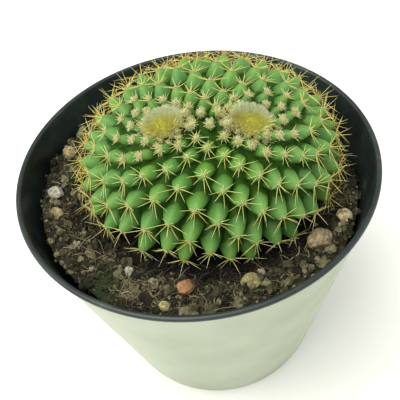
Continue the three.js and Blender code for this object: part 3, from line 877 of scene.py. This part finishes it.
# Wool of the growing points: its hair, which is thicker than real hair too, then the pad under the hair and
# the roots of the hair in shares of the wool's size
WOOL_HAIRS = 2600
WOOL_HAIR_THICKNESS = 0.07 * MM
WOOL_FLATNESS = 0.7
WOOL_LUMPS = 0.07
PAD_SHARE = 0.93
ROOT_SHARE = 0.9
WOOL_COLOURS = ((0.0, "#beba30"), (0.45, "#c8c652"), (1.0, "#ccd4a8"))

# Seeds of the random streams
SPINE_SEED = 23
FELT_SEED = 37
WOOL_SEED = 41
STONE_SEED = 50
FIBRE_SEED = 71
CURL_SEED = 80
FIBRE_PLACE_SEED = 90
TANGLE_SEED = 120


def stands_clear(end):
    """Whether the end of a spine is inside the pot, above the soil and no higher than the solids."""
    inside = hypot(end.x, end.y) < wall_radius(POT_HEIGHT) - WALL - CLEAR_OF_WALL
    return inside and end.z > soil_height(end.x, end.y) + CLEAR_OF_SOIL and end.z < CAD_BOX[1].z


def golden_share(place):
    """How far round to the back and the flanks a place is, where the spines are more golden."""
    away = place - STEM
    return min(1, 0.75 * max(0, away.y / HALF.y) + 0.6 * (away.x / HALF.x) ** 4)


def facing(site):
    """The directions across, up and out of an areole, which looks a little down from the crest."""
    out = (site.normal - LOOK_DOWN * site.up).normalized()
    return site.across, out.cross(site.across), out


def crowd(numbers, youth, golden):
    """How many spines stand together on an areole that is so young and so golden."""
    plain, more_young, more_golden = numbers
    return plain + more_young * youth + more_golden * golden


def areole_spines(site, draw):
    """Spines of one areole: a ring that spreads, shorter above, and some that stand in its middle."""
    youth = site.youth
    golden = golden_share(site.tip)
    grown = min(1, 0.2 + 0.85 * site.depth / TUBERCLE_HEIGHT)
    grown *= 1 - YOUNG_SHORTER * youth
    grown *= 1 + GOLDEN_LONGER * golden
    across, up, out = facing(site)
    ring = round(crowd(RING_SPINES, youth, golden) + RING_VARIES * draw())
    middle = round(crowd(MIDDLE_SPINES, youth, golden))
    start = 2 * pi * draw()
    placed = []
    for number in range(ring + middle):
        central = number >= ring
        turn = start + 2 * pi * (number + 0.5 * (draw() - 0.5)) / (middle if central else ring)
        upward = sin(turn)
        if central:
            lean = radians(MIDDLE_LEAN + MIDDLE_SPREAD * draw())
        else:
            lean = radians(RING_LEAN - YOUNG_CLOSES * youth + RING_SPREAD * (draw() - 0.5))
        length = SPINE_LENGTH * grown * (LEAST_SHARE + SHARE_RANGE * draw())
        if central:
            length *= MIDDLE_SHARE
        elif upward > 0:
            length *= 1 - UPPER_SHORTER * upward * (1 - youth)
        way = cos(lean) * out + sin(lean) * (cos(turn) * across + upward * up)
        root = site.tip + ROOT_SPREAD * (way - out) - ROOT_SINK * out
        for share in CUT_SHARES:
            if stands_clear(root + way * length * share):
                thickness = SPINE_THICKNESS * (0.85 + 0.3 * draw())
                turned = 2 * pi * draw()
                tint = min(1, 0.3 * draw() + golden + 0.6 * youth * central)
                placed.append((standing(root, way, thickness, length * share, turned), tint))
                break
    return placed


def on_rim(share, turn, level):
    """A place on an oval about a pad's middle, from its share of the pad's size, turn and level."""
    return Vector((share * WOOL_HALF.x * cos(turn), share * WOOL_HALF.y * sin(turn), level))


def wool_bristles(side, draw):
    """Young spines that crowd the near edge of a growing point, more of them to its left."""
    seat, _, turned = WOOL[side]
    placed = []
    for _ in range(WOOL_BRISTLES):
        turn = -pi * (BRISTLES_FACE + BRISTLES_ARC * (draw() - 0.5))
        share = BRISTLES_INNER + BRISTLES_BAND * draw()
        level = 0.8 * WOOL_HALF.z * sqrt(max(0, 1 - share ** 2)) - max(0, share - 1) * 2 * MM
        root = on_rim(share, turn, level)
        out = Vector((cos(turn), sin(turn), 1.2)) + 0.8 * any_way(draw)
        length = (BRISTLE_LENGTH + BRISTLE_RANGE * draw()) * MM
        around = ANY_TURN * draw()
        place = standing(seat + turned @ root, turned @ out, SPINE_THICKNESS, length, around)
        placed.append((place, 0.4 * draw()))
    return placed


def make_spines():
    """All spines as one piece: those of the areoles, and the bristles of the growing points."""
    draw = random_stream(SPINE_SEED)
    stock = curved(drawn_out("spine", 5, SPINE_RINGS), SPINE_BEND)
    placed = [spine for site in SITES for spine in areole_spines(site, draw)]
    placed += wool_bristles(0, draw) + wool_bristles(1, draw)
    spines = planted("cactus_spines", stock, placed)
    discard(stock)
    smooth(spines, 60)
    kept(spines, horn_spines(), "cactus_skin")


def make_hair():
    """One strand of wool, a unit long and a unit in radius, bent over at its end."""
    return curved(drawn_out("hair", 3, HAIR_RINGS), HAIR_BEND)


def newborn_areoles(side, draw):
    """The areoles that crowd round a growing point: middle, directions, size and number of hairs of each."""
    seat, _, turned = WOOL[side]
    felted = []
    for number in range(2 * NEWBORN):
        turn = pi * (number + 0.6 * draw()) / NEWBORN
        share, level = NEWBORN_ROWS[number % 2]
        rim = on_rim(share, turn, level)
        out = turned @ Vector((cos(turn), sin(turn), 1.6)).normalized()
        across = out.orthogonal().normalized()
        radius = (FELT_RADIUS + NEWBORN_LARGER * draw()) * MM
        felted.append((seat + turned @ rim, across, out.cross(across), out, radius, YOUNG_HAIRS))
    return felted


def make_areoles():
    """Tufts of felt on the tips, from which the spines stand: woolly pompoms on the young ones."""
    draw = random_stream(FELT_SEED)
    hair = make_hair()
    ball = sphere("ball", 2, 1)
    felted = newborn_areoles(0, draw) + newborn_areoles(1, draw)
    for site in SITES:
        youth = site.youth
        across, up, out = facing(site)
        radius = (FELT_RADIUS + YOUNG_LARGER * youth * (0.7 + 0.5 * draw())) * MM
        middle = site.tip + (0.35 * youth * radius - FELT_SINK) * out
        hairs = round(FELT_HAIRS + (YOUNG_HAIRS - FELT_HAIRS) * youth)
        felted.append((middle, across, up, out, radius, hairs))
    balls, strands = [], []
    for middle, across, up, out, radius, hairs in felted:
        balls.append((standing(middle, out, BALL_WIDTH * radius, BALL_DEPTH * radius), BALL_TINT))
        for _ in range(hairs):
            lean = acos(1 - 1.1 * draw())
            turn = 2 * pi * draw()
            aside = cos(turn) * across + 1.25 * sin(turn) * up
            way = cos(lean) * out + sin(lean) * aside
            length = radius * (0.5 + 0.35 * draw())
            place = standing(middle + HAIR_ROOT * radius * way, way, HAIR_THICKNESS, length, turn)
            strands.append((place, draw()))
    areoles = joined("areole_felt", [planted("balls", ball, balls), planted("hairs", hair, strands)])
    discard(hair, ball)
    smooth(areoles)
    kept(areoles, felt("cream_areole_felt", AREOLE_COLOURS), "growing_wool")


def heart_share(out):
    """0 in the yellow heart of a growing point and 1 at its pale edge, which is wider on the far side."""
    return clamped((hypot(0.82 * out[0], 1.1 * out[1] + 0.3) - 0.5) / 0.5)


def on_wool(out):
    """A place on a flat oval of wool about the origin, from a place on a ball of radius 1."""
    return Vector((out[0] * WOOL_HALF.x, out[1] * WOOL_HALF.y, WOOL_FLATNESS * out[2] * WOOL_HALF.z))


def make_wool(side, node):
    """A growing point: a felted pad, yellow in its heart and cream at its edge, with hair all over."""
    seat, _, turned = WOOL[side]
    draw = random_stream(WOOL_SEED + side)
    pad = sphere("pad", 5, 1)
    points = points_of(pad)
    tints = [heart_share(point) for point in points]
    for index, point in enumerate(points):
        lump = 1 + WOOL_LUMPS * noise.noise(Vector(point) * 3 + Vector((side, 0, 0)))
        points[index] = seat + turned @ (on_wool(point) * lump * PAD_SHARE)
    move_points(pad, points)
    smooth(pad)
    mark(pad, "tint", tints)
    mark(pad, "along", np.zeros(len(points)))
    hair = make_hair()
    strands = []
    for _ in range(WOOL_HAIRS):
        lean = acos(1 - 0.95 * draw())
        around = 2 * pi * draw()
        out = Vector((sin(lean) * cos(around), sin(lean) * sin(around), cos(lean)))
        stray = Vector((draw() - 0.5, draw() - 0.5, draw() + 0.6))
        longer = (1.4 * max(0, out.y) + 0.7 * out.x ** 2) * MM
        length = (0.5 + 0.5 * draw()) * MM + longer
        place = standing(seat + turned @ (on_wool(out) * ROOT_SHARE), turned @ (0.5 * out + stray),
                         WOOL_HAIR_THICKNESS, length, around)
        strands.append((place, clamped(heart_share(out) + 0.3 * (draw() - 0.5))))
    wool = joined("crest_" + node, [pad, planted("hairs", hair, strands)])
    discard(hair)
    kept(wool, felt("crest_wool", WOOL_COLOURS), "growing_wool", node)


# Soil

SOIL_REACH = wall_radius(POT_HEIGHT - SOIL_BELOW_RIM) - WALL
# The soil's tint, and how much painted shade darkens the bed and the crumbs in front of the plant
BED_TINT = 0.25
BED_PAINTED_SHADE = 0.4
LUMP_PAINTED_SHADE = 0.15

# The rings of the well, in shares of the way from its middle to the hole's edge
WELL_SHARES = (0.97, 0.9, 0.78, 0.6, 0.4, 0.2, 0.04)

# Crumbs of three sizes, and grit: seed of the dents, subdivisions, how many, seed of the places, smallest
# and largest size in mm, and the sunk share
CRUMBS = (
    (3, 2, 400, 61, 1.0, 3.6, 0.4),
    (4, 2, 800, 63, 0.7, 2.6, 0.35),
    (5, 1, 3000, 65, 0.35, 1.3, 0.25),
)
GRIT = (9, 2, 90, 67, 0.6, 2.2, 0.3)

# Fibres: kinds of curl, steps along one, its bow and wave in radii, how many of each kind and how clear of
# soil and wall, then how many of a kind lie in a tangle, and the tangles' places and reach in mm
FIBRE_CURLS = 6
FIBRE_STEPS = 12
FIBRE_BOW = (22, 18)
FIBRE_WAVE = (10, 9)
FIBRES = 190
FIBRE_RAISED = 0.5 * MM
FIBRE_CLEAR = 3 * MM
TANGLED = 45
TANGLES = ((-20, -35.5, 4.5), (38, -9, 4))


def hole_point(turn):
    """The edge of the soil round the stem."""
    reach = HALF.x - HOLE_INSET
    return Vector((STEM.x + reach * cos(turn), STEM.y + reach * HALF.y / HALF.x * sin(turn), 0))


def beside_stem(x, y):
    """How far outside the edge round the stem a place is, and in which direction from the stem."""
    turn = atan2((y - STEM.y) * HALF.x / HALF.y, x - STEM.x)
    inner = hole_point(turn)
    return hypot(x - STEM.x, y - STEM.y) - hypot(inner.x - STEM.x, inner.y - STEM.y), turn


def painted_shade_share(x, y):
    """1 where painted shade darkens the soil in the shade of the plant's front, 0 well away from it."""
    out, turn = beside_stem(x, y)
    return clamped(PAINTED_SHADE_SHARPNESS * (1 - out / PAINTED_SHADE_WIDTH)) * max(0, -sin(turn))


def fine_soil_height(x, y):
    """The top of the soil with clods of a few millimetres on it."""
    place = Vector((x, y, 0)) / MM
    return soil_height(x, y) + SOIL_ROUGHNESS * noise.fractal(place / CLOD_IN_MM, 0.9, 2.1, 5)


def well_height(x, y):
    """The well that the stem's round foot stands in, as in the solids: a tapered mouth, then a bowl."""
    low = soil_height(STEM.x, STEM.y) + MOUTH_RAISED - MOUTH_HEIGHT / 2
    narrow = HALF.x - MOUTH_INSET - MOUTH_TAPER
    reach = hypot(x - STEM.x, (y - STEM.y) * HALF.x / HALF.y)
    if reach > narrow:
        return min(soil_height(x, y), low + MOUTH_HEIGHT * (reach - narrow) / MOUTH_TAPER)
    bowl = HALF - Vector((1, 1, 1)) * (TUBERCLE_HEIGHT - STEM_SUNK)
    out = hypot((x - STEM.x) / bowl.x, (y - STEM.y) / bowl.y)
    return min(low, STEM.z - bowl.z * sqrt(max(0, 1 - out * out)))


def make_soil_bed():
    """A block of soil with a rough top, the well that the stem stands in, and the pot's taper outside."""
    edge = wall_radius(POT_HEIGHT - SOIL_BELOW_RIM - SOIL_DROP) - WALL - GAP - FACET_ROOM
    foot = wall_radius(FLOOR_Z + GAP) - WALL - GAP - FACET_ROOM - FLOOR_FILLET
    # A height only numbers a ring at first: 0 the foot, 1 to 2 mm the top outwards, below 1 mm the well
    shares = [number / (SOIL_RINGS - 1) for number in range(SOIL_RINGS)]
    rings = [(edge * (0.5 + 0.5 * share), (1 + share) * MM) for share in reversed(shares)]
    well = [(edge * 0.5 * share, share * MM) for share in WELL_SHARES]
    bed = drawn_out("soil_bed", SOIL_SIDES, [(foot, 0)] + rings + well)
    points = points_of(bed)
    middle = Vector((STEM.x, STEM.y, 0))
    for index, (x, y, z) in enumerate(points):
        turn = atan2(y, x)
        outer = Vector((edge * cos(turn), edge * sin(turn), 0))
        inner = hole_point(turn)
        if z == 0:
            points[index] = (foot * cos(turn), foot * sin(turn), FLOOR_Z + GAP)
        elif z > 0.99 * MM:
            flat = inner.lerp(outer, z / MM - 1)
            points[index] = (flat.x, flat.y, fine_soil_height(flat.x, flat.y))
        else:
            flat = middle.lerp(inner, z / MM)
            points[index] = (flat.x, flat.y, well_height(flat.x, flat.y))
    move_points(bed, points)
    smooth(bed, 50)
    # The bed is darkened with painted shade in front of the plant
    mark(bed, "tint", [BED_TINT - BED_PAINTED_SHADE * painted_shade_share(x, y) for x, y, _ in points])
    kept(bed, PEAT, "potting_soil", "soil")


def soil_places(count, seed, clear):
    """Places on the soil between the stem and the wall, evenly spread."""
    draw = random_stream(seed)
    edge = SOIL_REACH - GAP
    found = []
    while len(found) < count:
        x, y = (2 * draw() - 1) * edge, (2 * draw() - 1) * edge
        out, _ = beside_stem(x, y)
        if hypot(x, y) < edge - clear and out > -1 * MM:
            found.append((x, y))
    return found


def make_lump(seed, subdivisions):
    """A crumb a unit across, with dents."""
    stock = sphere("lump", subdivisions, 0.5)
    draw = random_stream(seed)
    points = points_of(stock)
    for index in range(len(points)):
        points[index] *= 0.6 + 0.75 * draw()
    move_points(stock, points)
    return stock


def scattered(name, dents, subdivisions, count, seed, smallest, largest, sink):
    """Copies of a lump lying on the soil, small ones most often, darkened with painted shade in front of the
    plant.
    """
    draw = random_stream(seed)
    stock = make_lump(dents, subdivisions)
    small, large = smallest * MM, largest * MM
    placed = []
    for x, y in soil_places(count, seed + 1, large / 2):
        size = small + (large - small) * draw() ** 3
        way = any_way(draw)
        height = fine_soil_height(x, y) + size * (0.5 - sink)
        length = size * (0.4 + 1.1 * draw())
        place = standing((x, y, height), way, size, length, ANY_TURN * draw())
        # Crumbs in front of the plant are darkened with painted shade
        shade_here = painted_shade_share(x, y)
        placed.append((place, draw() * (1 - shade_here) - LUMP_PAINTED_SHADE * shade_here))
    lumps = planted(name, stock, placed)
    discard(stock)
    return lumps


def make_crumbs():
    """The crumbs of the potting mix."""
    crumbs = joined("soil_crumbs", [scattered("crumbs", *sizes) for sizes in CRUMBS])
    kept(crumbs, PEAT, "potting_soil")


def make_fibre(seed):
    """A dry fibre a unit long and a unit in radius, bowed and waved."""
    draw = random_stream(seed)
    stock = drawn_out("fibre", 3, [(1, step / FIBRE_STEPS) for step in range(FIBRE_STEPS + 1)])
    points = points_of(stock)
    bend, turn, curl = (2 * draw() - 1 for _ in range(3))
    for index, (x, y, z) in enumerate(points):
        across = FIBRE_BOW[0] * bend * z * z + FIBRE_WAVE[0] * curl * sin(7 * z)
        aside = FIBRE_BOW[1] * turn * z * (1 - z) + FIBRE_WAVE[1] * curl * (cos(8 * z) - 1)
        points[index] = (x + across, y + aside, z)
    move_points(stock, points)
    return stock


def fibre_feet(kind):
    """Where the fibres of one curl lie: all over the soil, and matted in the two tangles."""
    draw = random_stream(TANGLE_SEED + kind)
    feet = soil_places(FIBRES, FIBRE_PLACE_SEED + kind, FIBRE_CLEAR)
    for x, y, reach in TANGLES:
        for _ in range(TANGLED):
            turn, away = 2 * pi * draw(), reach * sqrt(draw())
            feet.append(((x + away * cos(turn)) * MM, (y + away * sin(turn)) * MM))
    return feet


def make_fibres():
    """Coir and root fibres on the soil, none of them so near the wall that its end would reach it."""
    draw = random_stream(FIBRE_SEED)
    parts = []
    for kind in range(FIBRE_CURLS):
        stock = make_fibre(CURL_SEED + kind)
        placed = []
        for x, y in fibre_feet(kind):
            around = 2 * pi * draw()
            way = Vector((cos(around), sin(around), 0.3 * (draw() - 0.3)))
            length = (1.8 + 5 * draw() ** 2) * MM
            end = Vector((x, y, 0)) + way * length
            if hypot(end.x, end.y) > SOIL_REACH - FIBRE_CLEAR:
                continue
            root = (x, y, fine_soil_height(x, y) + FIBRE_RAISED)
            thickness = (0.035 + 0.05 * draw()) * MM
            place = standing(root, way, thickness, length, ANY_TURN * draw())
            # Fibres in front of the plant are darkened with painted shade
            placed.append((place, draw() * (1 - painted_shade_share(x, y))))
        parts.append(planted("fibres", stock, placed))
        discard(stock)
    fibres = joined("soil_fibres", parts)
    smooth(fibres, 60)
    kept(fibres, coir(), "potting_soil")


def make_grit():
    """The small pale grains among the crumbs."""
    grains = scattered("soil_grit", *GRIT)
    kept(grains, quartz_grit("pale_grit", "#6d6350", "#b0a58a"), "grit_stone")


# Stones: place and size in mm, with a dark and a pale colour
STONES = (
    (29.1, -25.6, 6.6, "#6f6048", "#b3a07c"),
    (37.6, -18.6, 4.6, "#9c8d68", "#d3c69a"),
    (-37.5, 19.5, 4.4, "#8f7c58", "#c4b084"),
    (-41.2, 3.4, 4.4, "#8e8b7c", "#cbc8b8"),
    (-40.4, -4.6, 4.2, "#7d6c4c", "#b7a176"),
    (-7.4, -34.8, 4.4, "#7b5233", "#b98355"),
    (9.0, -35.6, 4.8, "#6e6842", "#a89d68"),
    (-13.2, -39.4, 2.8, "#8f8554", "#c9bd86"),
    (-21.4, -27.2, 2.6, "#8d8d78", "#c2c2ac"),
    (23.5, 33.5, 4.2, "#7b6a4e", "#ab9872"),
    (-14.5, 38.5, 3.4, "#857250", "#b8a47a"),
)

# How a stone is chipped, in shares of its size: cuts, the nearest one, how far its middle lies above the
# soil, its width, depth and height, and how rough its faces are
STONE_CUTS = 8
STONE_HALF = 0.34
STONE_RAISED = 0.14
STONE_SHAPE = (1.12, 0.95, 0.8)
STONE_ROUGHNESS = 0.08


def make_stone(number, x, y, size, dark, pale):
    """A chipped stone: a ball cut by a few planes, its edges worn round and its faces pitted."""
    draw = random_stream(STONE_SEED + number)
    ball = sphere(f"stone_{number:02d}", 4, 0.5)
    bpy.ops.object.mode_set(mode="EDIT")
    for _ in range(STONE_CUTS):
        way = any_way(draw).normalized()
        bpy.ops.mesh.select_all(action="SELECT")
        bpy.ops.mesh.bisect(plane_co=way * (STONE_HALF + 0.1 * draw()), plane_no=way, use_fill=True,
                            clear_outer=True)
    bpy.ops.object.mode_set(mode="OBJECT")
    applied(ball, "REMESH", mode="VOXEL", voxel_size=0.035, adaptivity=0)
    applied(ball, "SMOOTH", factor=0.5, iterations=5)
    points = points_of(ball)
    spin = Matrix.Rotation(2 * pi * draw(), 3, "Z")
    middle = Vector((x * MM, y * MM, soil_height(x * MM, y * MM) + STONE_RAISED * size * MM))
    for index, point in enumerate(points):
        rough = 1 + STONE_ROUGHNESS * noise.fractal(Vector(point) * 4 + Vector((number, 0, 0)), 1.0, 2.0, 5)
        points[index] = middle + spin @ (Vector(point * STONE_SHAPE) * rough * size * MM)
    move_points(ball, points)
    smooth(ball)
    grit = quartz_grit(f"quartz_grit_{number:02d}", dark, pale)
    kept(ball, grit, "grit_stone", f"pebble_{number:02d}")


# Stage


def make_floor():
    """The pale sheet that the pot stands on."""
    floor = primitive("floor", bpy.ops.mesh.primitive_plane_add, size=4)
    m = blank("white_paper")
    shader = add(m, "BsdfPrincipled", "BSDF", {"Base Color": linear("#f7f7f4"), "Roughness": 0.9})
    floor.data.materials.append(surfaced(m, shader))


# Softboxes: place, size, power and colour, and the place that they all face
LIGHTS = (
    ("softbox_above", (-0.2, -0.05, 0.8), 0.6, 5.4, "#fffdf4"),
    ("softbox_front", (-0.35, -0.6, 0.55), 0.6, 1.6, "#fbfdff"),
    ("softbox_right", (0.7, 0.0, 0.4), 0.5, 1.2, "#ffffff"),
    ("softbox_left", (-0.7, 0.1, 0.4), 0.5, 1.6, "#ffffff"),
)
LIGHTS_FACE = (0, 0, 0.07)


def make_light(name, place, size, power, colour):
    """A round softbox that faces the object."""
    data = bpy.data.lights.new(name, "AREA")
    data.shape = "DISK"
    data.size = size
    data.energy = power
    data.color = linear(colour)[:3]
    light = linked(name, data)
    light.location = place
    light.rotation_euler = (Vector(LIGHTS_FACE) - Vector(place)).to_track_quat("-Z", "Y").to_euler()


def make_lights():
    """Soft daylight from above, with fill from the front and both sides."""
    for light in LIGHTS:
        make_light(*light)
    world = bpy.data.worlds.new("studio")
    world.use_nodes = True
    sky = world.node_tree.nodes["Background"]
    sky.inputs["Color"].default_value = linear("#fbfbf6")
    sky.inputs["Strength"].default_value = 0.66
    bpy.context.scene.world = world
    bpy.context.scene.view_settings.view_transform = "Standard"


# Camera, solved from the outline of the rim: how far from the rim's middle, how high, and how it is turned
CAMERA_AWAY = 165 * MM
CAMERA_ELEVATION = radians(45.01)
CAMERA_PAN = radians(0.125)
CAMERA_TILT = radians(-3.995)
CAMERA_ROLL = radians(9.5)
CAMERA_LENS = 53.68


def make_camera():
    """The camera, aimed as the solved angles say."""
    data = bpy.data.cameras.new("camera")
    data.lens = CAMERA_LENS
    data.sensor_width = 36
    data.clip_start = 10 * MM
    camera = linked("camera", data)
    back = Vector((0, -cos(CAMERA_ELEVATION), sin(CAMERA_ELEVATION)))
    right = Vector((1, 0, 0))
    looking = Matrix((right, back.cross(right), -back))
    pan = Matrix.Rotation(CAMERA_PAN, 3, "Y")
    tilt = Matrix.Rotation(CAMERA_TILT, 3, "X")
    roll = Matrix.Rotation(CAMERA_ROLL, 3, "Z")
    turned = roll @ tilt @ pan @ looking
    axes = Matrix((turned[0], turned[1], -turned[2])).transposed().to_4x4()
    camera.matrix_world = Matrix.Translation(Vector((0, 0, POT_HEIGHT)) + back * CAMERA_AWAY) @ axes
    bpy.context.scene.camera = camera


make_camera()
make_lights()
make_floor()
PEAT = damp_peat()
make_pot()
make_soil_bed()
make_crumbs()
make_fibres()
make_grit()
for stone_number, stone in enumerate(STONES, 1):
    make_stone(stone_number, *stone)
make_body()
make_spines()
make_areoles()
make_wool(0, "wool_left")
make_wool(1, "wool_right")
